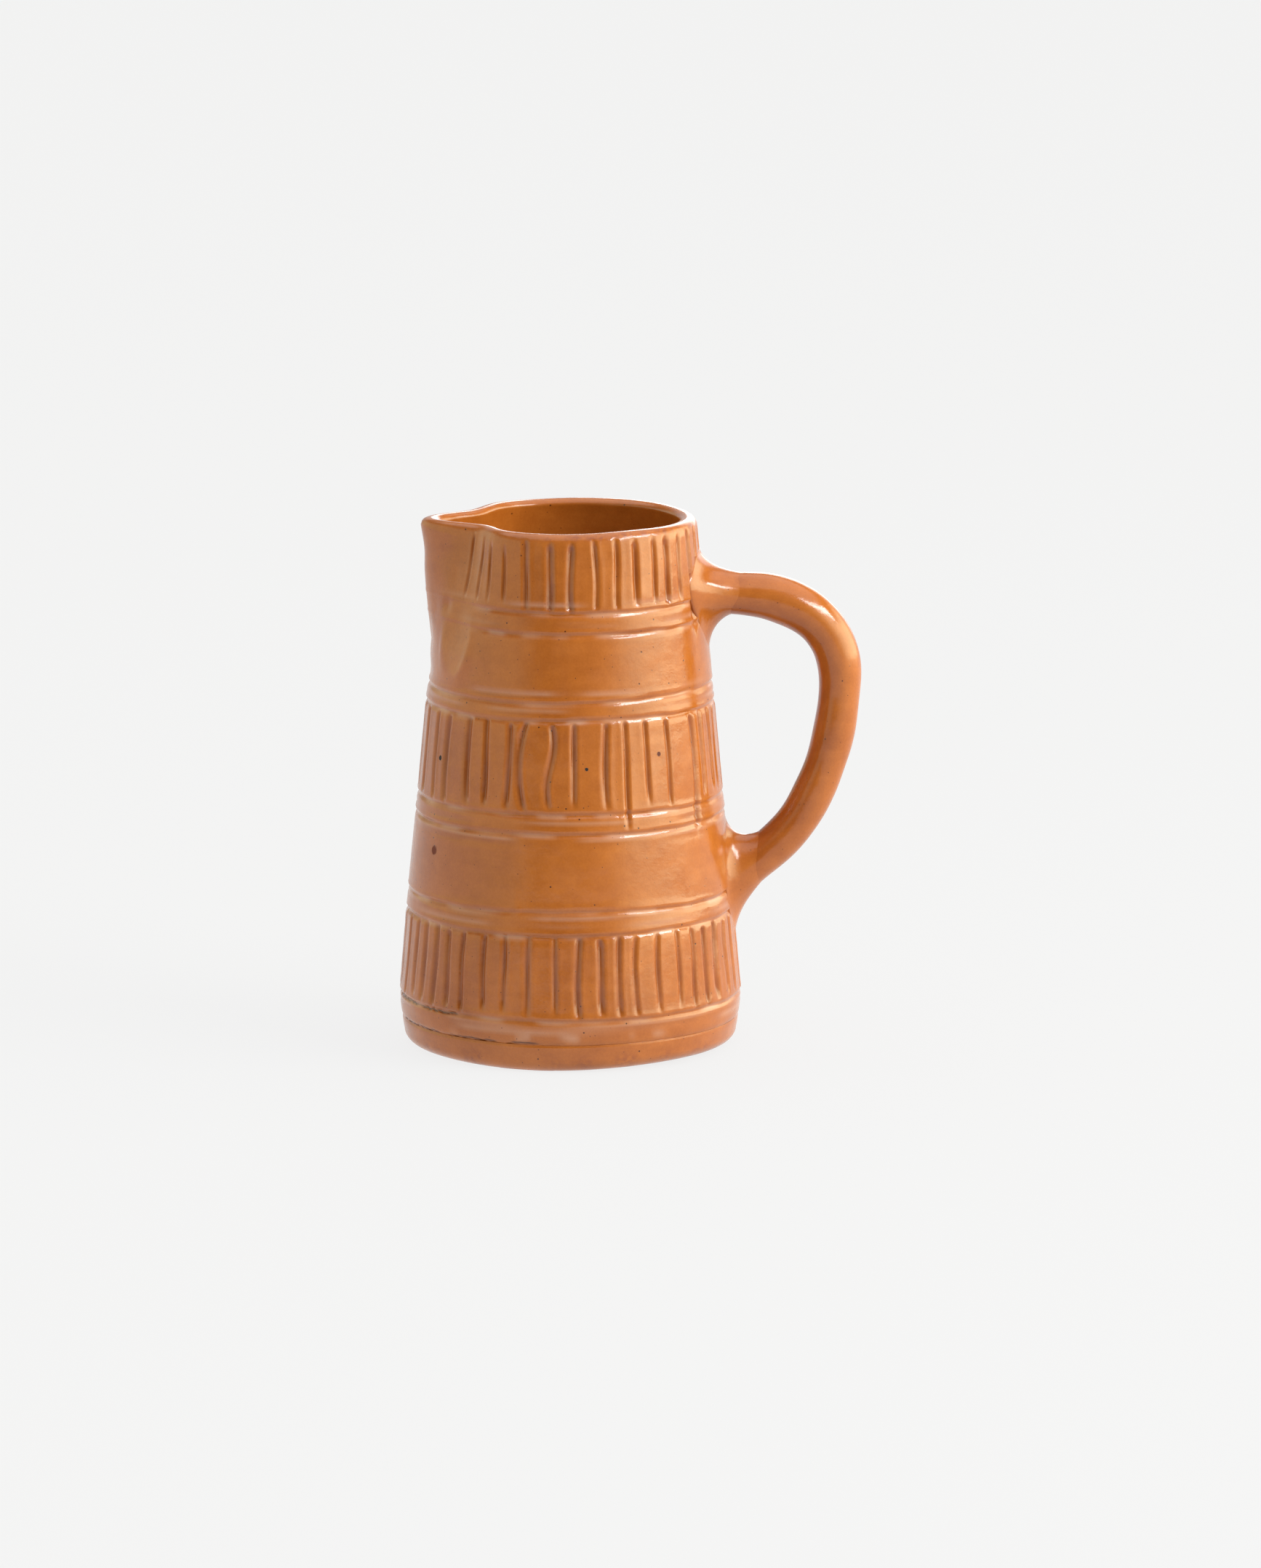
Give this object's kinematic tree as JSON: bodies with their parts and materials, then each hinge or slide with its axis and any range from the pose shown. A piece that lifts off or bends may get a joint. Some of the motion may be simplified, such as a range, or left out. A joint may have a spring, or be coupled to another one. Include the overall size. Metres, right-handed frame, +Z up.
{
  "type": "ceramic pitcher",
  "caption": "Hand-made glazed terracotta jug with a conical body, pulled pouring spout, incised bands and a round loop handle.",
  "frame": {"origin": "middle of the flat foot, on the axis of the body", "axes": "+Z up through the mouth, -X towards the pouring spout, +X towards the handle"},
  "size_m": [0.1733, 0.1284, 0.2],
  "materials": {
    "base_slab": "gloss",
    "wall": "gloss",
    "handle": "gloss",
    "joint_clay": "gloss"
  },
  "bodies": {
    "root": {"base_slab": "base_slab", "wall": "wall", "handle": "handle", "upper_joint_clay": "joint_clay", "lower_joint_clay": "joint_clay"}
  },
  "joints": []
}
